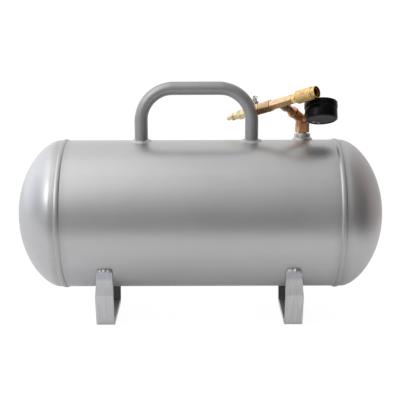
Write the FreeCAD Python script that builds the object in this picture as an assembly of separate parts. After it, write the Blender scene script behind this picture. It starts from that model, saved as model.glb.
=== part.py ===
import FreeCAD, Part
import math
import os

V = FreeCAD.Vector
os.makedirs("parts", exist_ok=True)

# ---- tank (mm) ----
AXIS_HEIGHT = 167.0          # tank axis above the floor
TANK_R = 114.3               # 9 in outside diameter
WALL = 4.8
SEAM_X = 208.4               # girth seam from the middle of the tank
HEAD_FLANGE = 10.0
HEAD_DEPTH = 63.5
HEAD_POWER = 1.6             # fuller shoulder than an ellipse
HEAD_POINTS = 24
WELD_ROOT = 0.75             # half of the root gap under a girth weld
WELD_GROOVE = 3.5            # half of the groove at the surface
WELD_CAP = 4.5               # half of the cap's width
WELD_PROUD = 1.8
SEAM_ANGLE = 205.0           # long seam, measured round the axis from the top towards the front
SEAM_WIDTH = 7.0
SEAM_PROUD = 1.2

# ---- carry handle ----
HANDLE_R = 10.2
HANDLE_WALL = 2.0
HANDLE_LEGS = (-90.4, 79.0)
HANDLE_TOP = 362.0
HANDLE_BEND = 50.0
HANDLE_BEAD = (7.0, 3.0)     # reach along the shell and rise up the tube

# ---- feet ----
FOOT_X = (-147.6, 143.8)
FOOT_WIDTH = 28.2
FOOT_TOP = (5.4, -17.2)      # strap's outer and inner edge at its top, from its middle
FOOT_TAPER = (51.0, 103.0)   # heights where the taper starts and where FOOT_TOP holds
FOOT_THICK = 4.8
FOOT_CONTACT = 55.0          # where the strap touches the shell, from straight down
FOOT_UPPER = 2.0             # strap above the contact line
FOOT_LOWER = 56.0            # strap below the contact line, to its bend
FOOT_BASE_Y = 52.5
FOOT_BEND = 6.5
FOOT_BEAD = (3.0, 4.2)        # left and right foot
FOOT_SIDE_BEAD = 12.0

# ---- threads, as plain cylinders ----
PIPE_R = 6.8
PIPE_BORE = 6.85
SMALL_R = 5.1
SMALL_BORE = 5.15
PASSAGE = 4.0

# ---- outlet boss and the fittings on it ----
BUNG_X = 159.0
BUNG_LEAN = 8.5              # towards the back
BUNG_R = 12.5
BUNG_TOP = 124.3             # heights on the riser are from the tank axis
BUNG_BEAD = (4.0, 4.0)
DRAIN_R = 11.0
DRAIN_TOP = 115.5            # nearly flush, from the tank axis
DRAIN_BEAD = (2.5, 1.4)
NIPPLE_END = 137.4
ELBOW_HEX = 19.0
ELBOW_HEX_SPAN = (125.2, 140.3)
ELBOW_CORNER = 149.2
ELBOW_OFFSET = (-4.5, -5.56)     # the neck leans to the left and the front
ELBOW_R = 7.4
ARM_AZIMUTH = 219.04
ARM_ELEVATION = 32.61
ARM_LENGTH = 49.1
ARM_R = 7.5
ARM_COLLAR_R = 8.7
ARM_FACE = 20.4
ARM_NIPPLE_R = 6.0
ARM_PASSAGE = 3.6
GAUGE_PORT_HEIGHT = 144.7
GAUGE_PORT_FACE = 14.5
GAUGE_PORT_R = 6.8

# ---- manifold bar line: distances along its axis, + towards the coupler ----
BAR_AZIMUTH = -39.0
BAR_ELEVATION = 18.0
BAR_HEX = 14.3
BAR_SPAN = (-18.0, 23.0)
BRANCH_R = 7.9
BRANCH_FACE = 14.5
NUT_HEX = 17.0
NUT_SPAN = (-24.4, -18.2)
TEE_HEX = 17.0
TEE_SPAN = (-53.0, -24.6)
TEE_GROOVE = (-39.4, -37.8)
SAFETY_AT = -45.6
SAFETY_TURN = 92.0
PULL_RING_AT = 20.9          # the stem's eye, from the bar's axis
PULL_RING_R = 3.4
PULL_RING_HANG = 112.0       # from the valve's axis, towards the back
CHECK_SPAN = (-75.0, -53.2)
CHECK_TRAVEL = 2.5
PLUG_TIP = -105.0
PLUG_HEX_SPAN = (-81.0, -75.2)
PLUG_COLLAR_R = 5.95

# ---- quick coupler, on the same axis ----
COUPLER_HEX_SPAN = (23.3, 29.6)
COUPLER_FLANGE = (32.0, 33.6)
COUPLER_BORE = 6.02
COUPLER_SHOULDER = 40.4      # bottom of the socket
COUPLER_TUBE = 7.2
COUPLER_END = 63.6
COUPLER_RELIEF = (51.0, 54.6)    # groove inside the socket, under the balls
BALL_R = 1.2
BALL_DROP = 0.7
BALL_AT = 52.8
BALL_COUNT = 4
SLEEVE_SPAN = (31.6, 66.2)
SLEEVE_R = 9.8
SLEEVE_GRIP_END = 59.6
SLEEVE_RIM_R = 9.0
SLEEVE_TRAVEL = 3.5
FIT = 0.05

# ---- gauge ----
GAUGE_REACH = 48.5           # riser axis to gauge centre
GAUGE_PORT_AZIMUTH = -58.2
GAUGE_PORT_ELEVATION = 22.6
GAUGE_NORMAL = (0.0, 0.43, 0.903)
GAUGE_CASE_R = 24.4
GAUGE_BEZEL_R = 25.1
GAUGE_HALF = 14.0
GEAR_MODULE = 0.3
PINION_TEETH = 12
SECTOR_TEETH = 108
SECTOR_CUT = 14              # teeth that the sector really has


# ---- small geometry helpers ----
def heading(azimuth, elevation):
    a = math.radians(azimuth)
    e = math.radians(elevation)
    return V(math.cos(e) * math.cos(a), math.cos(e) * math.sin(a), math.sin(e))


def square_to(vector, axis):
    """The part of a direction that is square to axis, as a unit vector."""
    out = vector - axis * vector.dot(axis)
    return out.normalize()


def frame_at(origin, z_axis, x_axis):
    x = square_to(x_axis, z_axis)
    y = z_axis.cross(x)
    return FreeCAD.Placement(origin, FreeCAD.Rotation(x, y, z_axis, "ZXY"))


def placed(shape, frame):
    out = shape.copy()
    out.Placement = frame.multiply(out.Placement)
    return out


def cylinder(radius, low, high, at=V(0, 0, 0), axis=V(0, 0, 1)):
    return Part.makeCylinder(radius, high - low, at + axis * low, axis)


def rod(radius, start, end):
    run = end - start
    return cylinder(radius, 0, run.Length, start, V(run).normalize())


def ring(outer, inner, low, high):
    return cylinder(outer, low, high).cut(cylinder(inner, low - 1, high + 1))


def spun(profile):
    """Solid of revolution about Z from (radius, height) points."""
    points = [V(r, 0, z) for r, z in profile]
    face = Part.Face(Part.makePolygon(points + points[:1]))
    return face.revolve(V(0, 0, 0), V(0, 0, 1), 360)


def hexagon(flats, low, high, chamfer=0.8, turn=0.0):
    """Hexagonal prism along Z with its corners turned down at both ends."""
    corner = flats / math.sqrt(3)
    points = []
    for k in range(7):
        a = math.radians(30 + 60 * k + turn)
        points.append(V(corner * math.cos(a), corner * math.sin(a), low))
    prism = Part.Face(Part.makePolygon(points)).extrude(V(0, 0, high - low))
    mid = flats / 2 + 0.1
    barrel = spun([
        (0, low), (mid, low), (corner + 0.1, low + chamfer),
        (corner + 0.1, high - chamfer), (mid, high), (0, high),
    ])
    return prism.common(barrel)


def block(x_span, y_span, z_span):
    size = [s[1] - s[0] for s in (x_span, y_span, z_span)]
    return Part.makeBox(*size, V(x_span[0], y_span[0], z_span[0]))


def coil(mean, wire, low, high, turns):
    """Round-wire spring along Z that stays between two heights."""
    height = high - low - 2 * wire
    steps = 16 * turns
    points = []
    for k in range(steps + 1):
        a = 2 * math.pi * turns * k / steps
        points.append(V(mean * math.cos(a), mean * math.sin(a), height * k / steps))
    spine = Part.BSplineCurve()
    spine.interpolate(points)
    rise = height / (2 * math.pi * mean * turns)
    section = Part.Wire(Part.makeCircle(wire, V(mean, 0, 0), V(0, 1, rise)))
    solid = Part.Wire(spine.toShape()).makePipeShell([section], True, True)
    solid.translate(V(0, 0, low + wire))
    return solid


def round_path(points, bend):
    """Wire through points with every inner corner rounded to a radius."""
    edges = []
    start = points[0]
    for before, corner, after in zip(points, points[1:], points[2:]):
        back = (before - corner).normalize()
        on = (after - corner).normalize()
        half = math.acos(max(-1.0, min(1.0, back.dot(on)))) / 2
        reach = bend / math.tan(half)
        first = corner + back * reach
        last = corner + on * reach
        bisector = (back + on).normalize()
        middle = corner + bisector * (bend / math.sin(half) - bend)
        edges.append(Part.makeLine(start, first))
        edges.append(Part.Arc(first, middle, last).toShape())
        start = last
    edges.append(Part.makeLine(start, points[-1]))
    return Part.Wire(edges)


def sweep(path, section):
    return path.makePipeShell([section], True, False)


def fused(shapes):
    return shapes[0].fuse(list(shapes[1:])).removeSplitter()


def export(name, shape):
    if isinstance(shape, list):
        solids = [solid for part in shape for solid in part.Solids]
    else:
        solids = shape.Solids
    out = solids[0] if len(solids) == 1 else Part.makeCompound(solids)
    out.exportStep("parts/%s.step" % name)


# ---- places shared by several pieces ----
TANK = frame_at(V(0, 0, AXIS_HEIGHT), V(1, 0, 0), V(0, 0, 1))
UP = heading(90, 90 - BUNG_LEAN)
RISER = frame_at(V(BUNG_X, 0, AXIS_HEIGHT), UP, V(1, 0, 0))
CORNER = RISER.multVec(V(0, 0, ELBOW_CORNER)) + V(ELBOW_OFFSET[0], ELBOW_OFFSET[1], 0)
ARM_AXIS = heading(ARM_AZIMUTH, ARM_ELEVATION)
ARM = frame_at(CORNER, ARM_AXIS, UP)
BAR_CENTRE = CORNER + ARM_AXIS * ARM_LENGTH
BAR_AXIS = square_to(heading(BAR_AZIMUTH, BAR_ELEVATION), ARM_AXIS)
BAR = frame_at(BAR_CENTRE, BAR_AXIS, ARM_AXIS * -1)
BAR_BACK = BAR_AXIS.cross(V(0, 0, 1)).normalize() * -1
BAR_UP = BAR_AXIS.cross(BAR_BACK)
TURN = math.radians(SAFETY_TURN)
SAFETY_AXIS = BAR_BACK * math.cos(TURN) + BAR_UP * math.sin(TURN)
SAFETY = frame_at(BAR.multVec(V(0, 0, SAFETY_AT)), SAFETY_AXIS, BAR_BACK)
PORT_AXIS = heading(GAUGE_PORT_AZIMUTH, GAUGE_PORT_ELEVATION)
PORT_START = RISER.multVec(V(0, 0, GAUGE_PORT_HEIGHT))
PORT = frame_at(PORT_START, PORT_AXIS, UP)
GAUGE_CENTRE = PORT_START + PORT_AXIS * GAUGE_REACH
DIAL_AXIS = square_to(V(*GAUGE_NORMAL), PORT_AXIS)
GAUGE = frame_at(GAUGE_CENTRE, DIAL_AXIS, PORT_AXIS * -1)
DRAIN = frame_at(V(0, 0, AXIS_HEIGHT), V(0, 0, -1), V(1, 0, 0))
OUTSIDE = placed(cylinder(TANK_R, -SEAM_X - 5, SEAM_X + 5), TANK)


# ---- tank ----
def tank_shell():
    inner = TANK_R - WALL
    edge_out = SEAM_X - WELD_GROOVE
    edge_in = SEAM_X - WELD_ROOT
    tube = spun([(inner, -edge_in), (TANK_R, -edge_out), (TANK_R, edge_out), (inner, edge_in)])
    shell = placed(tube, TANK)
    for frame in (RISER, DRAIN):
        shell = shell.cut(placed(cylinder(PIPE_BORE, 90, 130), frame))
    return shell


def dome_curve(radius, base, depth):
    """Half outline of a spun head: (z / depth) ** HEAD_POWER + (r / radius) ** 2 = 1."""
    points = []
    for k in range(HEAD_POINTS + 1):
        a = math.pi / 2 * k / HEAD_POINTS
        rise = depth * math.sin(a) ** (2 / HEAD_POWER)
        points.append(V(radius * math.cos(a), 0, base + rise))
    points[-1] = V(0, 0, base + depth)
    curve = Part.BSplineCurve()
    curve.interpolate(Points=points, InitialTangent=V(0, 0, 1), FinalTangent=V(-1, 0, 0))
    return curve.toShape()


def head(side):
    """Spun head with a short straight flange; side is -1 or 1."""
    inner = TANK_R - WALL
    base = SEAM_X + HEAD_FLANGE
    out_edge = V(TANK_R, 0, SEAM_X + WELD_GROOVE)
    in_edge = V(inner, 0, SEAM_X + WELD_ROOT)
    outline = Part.Wire([
        Part.makeLine(out_edge, V(TANK_R, 0, base)),
        dome_curve(TANK_R, base, HEAD_DEPTH),
        Part.makeLine(V(0, 0, base + HEAD_DEPTH), V(0, 0, base + HEAD_DEPTH - WALL)),
        dome_curve(inner, base, HEAD_DEPTH - WALL),
        Part.makeLine(V(inner, 0, base), in_edge),
        Part.makeLine(in_edge, out_edge),
    ])
    solid = Part.Face(outline).revolve(V(0, 0, 0), V(0, 0, 1), 360)
    if side < 0:
        solid = solid.mirror(V(0, 0, 0), V(0, 0, 1))
    return placed(solid, TANK)


def girth_weld(side):
    inner = TANK_R - WALL
    at = side * SEAM_X
    cap = Part.Arc(
        V(TANK_R, 0, at + WELD_CAP), V(TANK_R + WELD_PROUD, 0, at), V(TANK_R, 0, at - WELD_CAP)
    ).toShape()
    corners = [
        V(TANK_R, 0, at - WELD_CAP), V(TANK_R, 0, at - WELD_GROOVE), V(inner, 0, at - WELD_ROOT),
        V(inner, 0, at + WELD_ROOT), V(TANK_R, 0, at + WELD_GROOVE), V(TANK_R, 0, at + WELD_CAP),
    ]
    outline = Part.Wire(Part.makePolygon(corners).Edges + [cap])
    return placed(Part.Face(outline).revolve(V(0, 0, 0), V(0, 0, 1), 360), TANK)


def long_seam():
    length = SEAM_X - WELD_CAP
    half = SEAM_WIDTH / 2
    bend = (half ** 2 + SEAM_PROUD ** 2) / (2 * SEAM_PROUD)
    centre = TANK_R + SEAM_PROUD - bend
    turned = FreeCAD.Placement(V(0, 0, 0), FreeCAD.Rotation(V(0, 0, 1), SEAM_ANGLE))
    bead = placed(Part.makeCylinder(bend, 2 * length, V(centre, 0, -length)), turned)
    return placed(bead, TANK).cut(OUTSIDE)


# ---- handle ----
def handle_path():
    low = AXIS_HEIGHT + TANK_R - 8
    left, right = HANDLE_LEGS
    points = [V(left, 0, low), V(left, 0, HANDLE_TOP), V(right, 0, HANDLE_TOP), V(right, 0, low)]
    return round_path(points, HANDLE_BEND)


def carry_handle():
    path = handle_path()
    start = path.Vertexes[0].Point
    outer = Part.Wire(Part.makeCircle(HANDLE_R, start, V(0, 0, 1)))
    inner = Part.Wire(Part.makeCircle(HANDLE_R - HANDLE_WALL, start, V(0, 0, 1)))
    return sweep(path, outer).cut(sweep(path, inner)).cut(OUTSIDE)


def collar_weld(radius, bead, frame):
    """Fillet weld round an upright tube where it stands on the shell."""
    reach, rise = bead
    cone = Part.makeCone(radius + reach, radius + 0.4, rise + 1.5, V(0, 0, TANK_R - 1.5))
    return placed(cone.cut(cylinder(radius, TANK_R - 5, TANK_R + 20)), frame).cut(OUTSIDE)


def handle_welds():
    welds = []
    for x in HANDLE_LEGS:
        frame = frame_at(V(x, 0, AXIS_HEIGHT), V(0, 0, 1), V(1, 0, 0))
        welds.append(collar_weld(HANDLE_R, HANDLE_BEAD, frame))
    return welds


# ---- feet ----
def foot_points():
    """Middle line of half a foot strap as (distance to the back, height) from the top down."""
    a = math.radians(FOOT_CONTACT)
    reach = TANK_R + FOOT_THICK / 2 + FIT
    contact = (reach * math.sin(a), AXIS_HEIGHT - reach * math.cos(a))
    along = (-math.cos(a), -math.sin(a))
    top = (contact[0] - along[0] * FOOT_UPPER, contact[1] - along[1] * FOOT_UPPER)
    bend = (contact[0] + along[0] * FOOT_LOWER, contact[1] + along[1] * FOOT_LOWER)
    return [top, bend, (FOOT_BASE_Y, FOOT_THICK / 2)]


def foot_edges(height):
    """Outer and inner edge of a strap at a height, from its middle line."""
    low, high = FOOT_TAPER
    share = max(0.0, (height - low) / (high - low))
    half = FOOT_WIDTH / 2
    return half + (FOOT_TOP[0] - half) * share, -half + (FOOT_TOP[1] + half) * share


def foot_outline(x):
    """Prism along Y with the strap's front outline: straight below, leaning in above."""
    side = math.copysign(1, x)
    heights = (-1.0, FOOT_TAPER[0], FOOT_TAPER[1] + 8)
    outer = [V(x + side * foot_edges(z)[0], -120, z) for z in heights]
    inner = [V(x + side * foot_edges(z)[1], -120, z) for z in reversed(heights)]
    return Part.Face(Part.makePolygon(outer + inner + outer[:1])).extrude(V(0, 240, 0))


def foot(x):
    half = foot_points()
    front = [V(x, -y, z) for y, z in half]
    back = [V(x, y, z) for y, z in reversed(half)]
    points = front + back
    path = round_path(points, FOOT_BEND)
    along = (points[1] - points[0]).normalize()
    thick = along.cross(V(1, 0, 0)).normalize() * (FOOT_THICK / 2)
    wide = V(FOOT_WIDTH / 2 + 4, 0, 0)
    top = points[0]
    corners = [top + wide + thick, top - wide + thick, top - wide - thick, top + wide - thick]
    section = Part.makePolygon(corners + corners[:1])
    return sweep(path, section).common(foot_outline(x))


def foot_welds(x, strap):
    """A bead over each strap end and one down each side of it, on the shell."""
    top, bend, _ = foot_points()
    side = math.copysign(1, x)
    radius = FOOT_BEAD[FOOT_X.index(x)]
    beads = []
    for facing in (-1, 1):
        end = V(x, facing * top[0], top[1])
        out = V(0, end.y, end.z - AXIS_HEIGHT).normalize()
        along = (V(x, facing * bend[0], bend[1]) - end).normalize()
        over = end - out * 2.2 - along * 1.8
        outer, inner = sorted(side * edge for edge in foot_edges(end.z))
        beads.append(cylinder(radius, outer + 1, inner - 1, over, V(1, 0, 0)))
        low = end + along * FOOT_SIDE_BEAD
        for k, away in enumerate((0.6, -0.6)):
            start = end + V(side * (foot_edges(end.z)[k] + away), 0, 0) - out * 2.6
            finish = low + V(side * (foot_edges(low.z)[k] + away), 0, 0) - out * 2.6
            run = finish - start
            length = run.Length
            beads.append(cylinder(FOOT_BEAD[0] - 0.6, 0, length, start, run.normalize()))
    return [bead.cut(OUTSIDE).cut(strap) for bead in beads]


# ---- bosses ----
def boss(frame, top, radius):
    body = spun([
        (PIPE_BORE, 100), (radius, 100), (radius, top - 0.8), (radius - 0.8, top), (PIPE_BORE, top),
    ])
    return placed(body, frame).cut(OUTSIDE)


def drain_plug():
    top = DRAIN_TOP - 0.3
    body = cylinder(PIPE_R, top - 8.5, top)
    socket = hexagon(6.4, top - 4.5, top + 2, 0.1)
    return placed(body.cut(socket), DRAIN)


# ---- riser, elbow and arm ----
def riser_nipple():
    return placed(ring(PIPE_R, PASSAGE, TANK_R - 4, NIPPLE_END), RISER)


def outlet_elbow():
    """Elbow with a hexagonal base, a leaning neck, the arm's socket and the gauge's port."""
    base, shoulder = ELBOW_HEX_SPAN
    root = RISER.multVec(V(ELBOW_OFFSET[0] / 2, ELBOW_OFFSET[1] / 4, shoulder - 5))
    inlet = RISER.multVec(V(0, 0, NIPPLE_END - 1))
    solid = fused([
        placed(hexagon(ELBOW_HEX, base, shoulder, 1.2, 27), RISER),
        rod(ELBOW_R, root, CORNER),
        Part.makeSphere(ELBOW_R, CORNER),
        placed(cylinder(ARM_R, 0, ARM_FACE), ARM),
        placed(cylinder(ARM_COLLAR_R, ARM_FACE - 5.3, ARM_FACE), ARM),
        placed(cylinder(GAUGE_PORT_R, -2, GAUGE_PORT_FACE), PORT),
    ])
    hollows = [
        placed(cylinder(PIPE_BORE, base - 1, NIPPLE_END + 0.4), RISER),
        rod(ARM_PASSAGE, inlet, CORNER),
        Part.makeSphere(ARM_PASSAGE, CORNER),
        placed(cylinder(ARM_PASSAGE, 0, ARM_FACE + 1), ARM),
        placed(cylinder(ARM_NIPPLE_R + FIT, 11.2, ARM_FACE + 1), ARM),
        placed(cylinder(SMALL_BORE, 8.6, GAUGE_PORT_FACE + 1), PORT),
        placed(cylinder(2.5, -3, GAUGE_PORT_FACE + 1), PORT),
    ]
    return solid.cut(hollows)


def arm_nipple():
    return placed(ring(ARM_NIPPLE_R, ARM_PASSAGE, 11.6, ARM_LENGTH - 7.6), ARM)


# ---- manifold bar line ----
def manifold_bar():
    low, high = BAR_SPAN
    solid = fused([
        hexagon(BAR_HEX, low, high, 0.7, 8), cylinder(SMALL_R, low - 14, low + 1),
        cylinder(SMALL_R, high - 1, high + 5.5), cylinder(BRANCH_R, 0, BRANCH_FACE, axis=V(1, 0, 0)),
    ])
    hollows = [
        cylinder(3.0, low - 20, high + 20),
        cylinder(ARM_NIPPLE_R + FIT, 7.3, BRANCH_FACE + 1, axis=V(1, 0, 0)),
        cylinder(3.0, 0, BRANCH_FACE, axis=V(1, 0, 0)),
    ]
    return placed(solid.cut(hollows), BAR)


def lock_nut():
    nut = hexagon(NUT_HEX, *NUT_SPAN, 0.9, 11)
    return placed(nut.cut(cylinder(SMALL_BORE, -60, 0)), BAR)


def safety_tee():
    low, high = TEE_SPAN
    groove = ring(TEE_HEX, TEE_HEX / 2 - 0.9, *TEE_GROOVE)
    body = placed(hexagon(TEE_HEX, low, high, 0.9, 8).cut(groove), BAR)
    stub = placed(cylinder(SMALL_R, low - 6, low + 1), BAR)
    hollows = [
        placed(cylinder(SMALL_BORE, -33, high + 1), BAR),
        placed(cylinder(2.5, low - 10, high), BAR),
        placed(cylinder(3.65, 4.8, 20), SAFETY),
        placed(cylinder(5.9, 8.9, 20), SAFETY),
        placed(cylinder(1.6, 0, 6), SAFETY),
    ]
    return body.fuse(stub).cut(hollows)


def check_body():
    low, high = CHECK_SPAN
    hollows = [
        cylinder(SMALL_BORE, low - 1, low + 6), cylinder(2.6, low, high),
        cylinder(4.4, -67.4, high), cylinder(SMALL_BORE, high - 6.4, high + 1),
    ]
    return placed(hexagon(BAR_HEX, low, high, 0.9, 8).cut(hollows), BAR)


def check_poppet():
    body = spun([
        (0, -68.6), (1.6, -68.6), (2.2, -67.35), (3.6, -67.35), (3.6, -65.6), (1.0, -65.6),
        (1.0, -64.2), (0, -64.2),
    ])
    return placed(body, BAR)


def check_spring():
    return placed(coil(3.2, 0.3, -65.55, -59.25, 4), BAR)


def male_plug():
    low, high = PLUG_HEX_SPAN
    tip = PLUG_TIP
    collar = PLUG_COLLAR_R
    nose = spun([
        (2.4, tip), (3.5, tip), (3.95, tip + 0.6), (3.95, tip + 7.4), (collar, tip + 9.6),
        (collar, tip + 12.6), (4.8, tip + 13.8), (4.8, tip + 16.2), (collar, tip + 17.4),
        (collar, low + 0.5), (2.4, low + 0.5),
    ])
    rest = fused([hexagon(BAR_HEX, low, high, 0.9, 14), cylinder(SMALL_R, high - 1, high + 5.2)])
    return placed(nose.fuse(rest.cut(cylinder(2.4, -110, -60))), BAR)


# ---- quick coupler ----
def ball_turns():
    return [360.0 / BALL_COUNT * k + 45 for k in range(BALL_COUNT)]


def turned_frame(turn):
    return BAR.multiply(FreeCAD.Placement(V(0, 0, 0), FreeCAD.Rotation(V(0, 0, 1), turn)))


def coupler_body():
    low, high = COUPLER_HEX_SPAN
    back, face = COUPLER_FLANGE
    end = COUPLER_END
    bore = COUPLER_BORE
    outside = spun([
        (0, high - 0.5), (6.4, high - 0.5), (6.4, back), (9.0, back), (9.0, face),
        (COUPLER_TUBE, face), (COUPLER_TUBE, end - 2.9), (6.7, end - 2.9), (6.7, end - 1.8),
        (COUPLER_TUBE, end - 1.8), (COUPLER_TUBE, end), (0, end),
    ])
    inside = spun([
        (0, low - 1), (SMALL_BORE, low - 1), (SMALL_BORE, 28.8), (3.4, 28.8), (3.4, 30.0),
        (5.0, 30.0), (5.0, COUPLER_SHOULDER), (bore, COUPLER_SHOULDER), (bore, COUPLER_RELIEF[0]),
        (bore + 0.35, COUPLER_RELIEF[0]), (bore + 0.35, COUPLER_RELIEF[1]), (bore, COUPLER_RELIEF[1]),
        (bore, end - 0.6), (bore + 0.6, end), (bore + 0.6, end + 2), (0, end + 2),
    ])
    body = placed(fused([hexagon(BAR_HEX, low, high, 0.8, 8), outside]).cut(inside), BAR)
    holes = [
        placed(cylinder(BALL_R + FIT, 5, 9, V(0, 0, BALL_AT), V(1, 0, 0)), turned_frame(t))
        for t in ball_turns()
    ]
    return body.cut(holes)


def ball_rest():
    return COUPLER_BORE - BALL_DROP + BALL_R


def locking_ball(turn):
    return placed(Part.makeSphere(BALL_R, V(ball_rest(), 0, BALL_AT)), turned_frame(turn))


def coupler_sleeve():
    low, high = SLEEVE_SPAN
    grip = SLEEVE_GRIP_END
    rim = SLEEVE_RIM_R
    slope = BALL_DROP / SLEEVE_TRAVEL
    land = ball_rest() + BALL_R + 0.07
    ramp = ball_rest() + BALL_R / math.cos(math.atan(slope)) + 0.06
    ramp_end = BALL_AT + SLEEVE_TRAVEL + 0.5
    pocket = ramp + slope * (ramp_end - BALL_AT)
    slide = COUPLER_TUBE + FIT
    lip = (COUPLER_END - 6.0, COUPLER_END - 2.9)
    profile = [
        (9.0 + FIT, low), (SLEEVE_R - 0.5, low), (SLEEVE_R, low + 0.5), (SLEEVE_R, grip - 0.6),
        (SLEEVE_R - 0.6, grip), (rim - 0.5, grip + 0.3), (rim - 0.5, grip + 1.5),
        (rim, grip + 1.9), (rim, high - 0.7), (rim - 0.4, high), (8.2, high), (7.9, high - 0.6),
        (7.9, lip[1]), (slide, lip[1]), (slide, lip[0]), (pocket, lip[0]), (pocket, ramp_end),
        (land, BALL_AT - 0.1), (land, BALL_AT - 6.4), (9.0 + FIT, BALL_AT - 6.4),
    ]
    return placed(spun(profile), BAR)


def sleeve_spring():
    return placed(coil(8.1, 0.45, COUPLER_FLANGE[1] + 0.05, BALL_AT - 6.45, 5), BAR)


def retaining_ring():
    low = COUPLER_END - 2.8
    gap = block((5, 9), (-1.1, 1.1), (low - 5, low + 5))
    return placed(ring(7.7, 6.72, low, low + 0.9).cut(gap), BAR)


def coupler_seal():
    seal = Part.makeTorus(5.0, 1.0, V(0, 0, COUPLER_SHOULDER + 1.1))
    return placed(seal, BAR)


def coupler_poppet():
    seat = COUPLER_SHOULDER - 0.1
    body = spun([
        (0, seat - 7.6), (1.2, seat - 7.6), (1.2, seat - 2.2), (4.7, seat - 2.2), (4.7, seat),
        (3.4, seat + 0.8), (3.4, seat + 3.0), (2.6, seat + 3.8), (0, seat + 3.8),
    ])
    return placed(body, BAR)


def poppet_spring():
    return placed(coil(4.1, 0.35, 30.05, COUPLER_SHOULDER - 2.35, 4), BAR)


# ---- safety valve ----
def safety_body():
    body = fused([cylinder(3.6, 5.0, 9.4), hexagon(9.5, 9.0, 12.2, 0.4), cylinder(3.4, 12.0, 18.6)])
    hollows = [cylinder(1.3, 4, 8), cylinder(2.6, 7.2, 17.6), cylinder(0.95, 10, 20)]
    hollows += [cylinder(0.7, -6, 6, V(0, 0, 15.2), a) for a in (V(1, 0, 0), V(0, 1, 0))]
    return placed(body.cut(hollows), SAFETY)


def safety_stem():
    eye_at = PULL_RING_AT
    eye = block((-1.5, 1.5), (-0.7, 0.7), (eye_at - 1.9, eye_at + 1.3))
    body = fused([cylinder(2.2, 7.25, 8.6), cylinder(0.85, 8.4, eye_at - 1.4), eye])
    return placed(body.cut(cylinder(0.85, -2, 2, V(0, 0, eye_at), V(0, 1, 0))), SAFETY)


def safety_spring():
    return placed(coil(1.9, 0.3, 8.7, 17.5, 7), SAFETY)


def pull_ring():
    a = math.radians(PULL_RING_HANG)
    toward = V(math.sin(a), 0, math.cos(a))
    centre = V(0, 0, PULL_RING_AT) + toward * PULL_RING_R
    normal = toward.cross(V(0, 1, 0))
    return placed(Part.makeTorus(PULL_RING_R, 0.5, centre, normal), SAFETY)


# ---- gauge ----
def gauge_case():
    r = GAUGE_CASE_R
    back = -GAUGE_HALF
    rim = 10.55
    cup = spun([
        (0, back + 0.8), (19.5, back + 0.8), (20.3, back), (r - 1.6, back), (r, back + 1.6),
        (r, rim), (r - 1.5, rim), (r - 1.5, back + 2.4), (0, back + 2.4),
    ])
    return placed(cup.cut(block((20, 30), (-5.6, 5.6), (-5.6, 3.7))), GAUGE)


def gauge_bezel():
    r = GAUGE_BEZEL_R
    top = GAUGE_HALF
    body = spun([
        (GAUGE_CASE_R + FIT, 4.0), (r - 0.3, 4.0), (r, 4.3), (r, top - 1.4), (r - 1.4, top),
        (21.6, top), (21.2, top - 0.6), (21.6, top - 1.6), (GAUGE_CASE_R + FIT, top - 1.6),
    ])
    notches = [block((a - 1.3, a + 1.3), (r - 0.6, r + 2), (3, 6)) for a in (-8, 8)]
    for notch in notches:
        body = body.cut(notch)
        body = body.cut(notch.mirror(V(0, 0, 0), V(0, 1, 0)))
    return placed(body, GAUGE)


def gauge_lens():
    return placed(cylinder(GAUGE_CASE_R - 0.1, GAUGE_HALF - 3.4, GAUGE_HALF - 1.65), GAUGE)


def gauge_dial():
    return placed(ring(GAUGE_CASE_R - 1.6, 1.0, 6.4, 7.2), GAUGE)


def gear_tooth(teeth, addendum, dedendum, backlash, outward_root):
    """One tooth of a 20 degree gear, along +X, reaching down into its own rim."""
    m = GEAR_MODULE
    pitch_r = m * teeth / 2
    base_r = pitch_r * math.cos(math.radians(20))
    half_pitch = math.pi / (2 * teeth) - backlash / (2 * pitch_r)
    inv20 = math.tan(math.radians(20)) - math.radians(20)
    flank = []
    tip = pitch_r + addendum * m
    root = pitch_r - dedendum * m
    for k in range(5):
        r = max(root, base_r) + (tip - max(root, base_r)) * k / 4
        phi = math.acos(min(1.0, base_r / r))
        a = half_pitch + inv20 - (math.tan(phi) - phi)
        flank.append((r, a))
    if root < base_r:
        flank.insert(0, (root, flank[0][1]))
    flank.insert(0, (root - outward_root, flank[0][1]))
    outline = [V(r * math.cos(a), r * math.sin(a), 0) for r, a in flank]
    mirror = [V(p.x, -p.y, 0) for p in reversed(outline)]
    return Part.Face(Part.makePolygon(outline + mirror + outline[:1]))


def pinion_arbor():
    m = GEAR_MODULE
    root = m * PINION_TEETH / 2 - 1.25 * m
    tooth = gear_tooth(PINION_TEETH, 0.9, 1.25, 0.04, 0.3).extrude(V(0, 0, 2.0))
    pieces = [cylinder(root, 0.4, 2.4), cylinder(0.6, -1.6, 8.4)]
    for k in range(PINION_TEETH):
        turn = 360.0 / PINION_TEETH * (k + 0.5)
        turned = FreeCAD.Placement(V(0, 0, 0.4), FreeCAD.Rotation(V(0, 0, 1), turn))
        pieces.append(placed(tooth, turned))
    return placed(fused(pieces), GAUGE)


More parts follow.
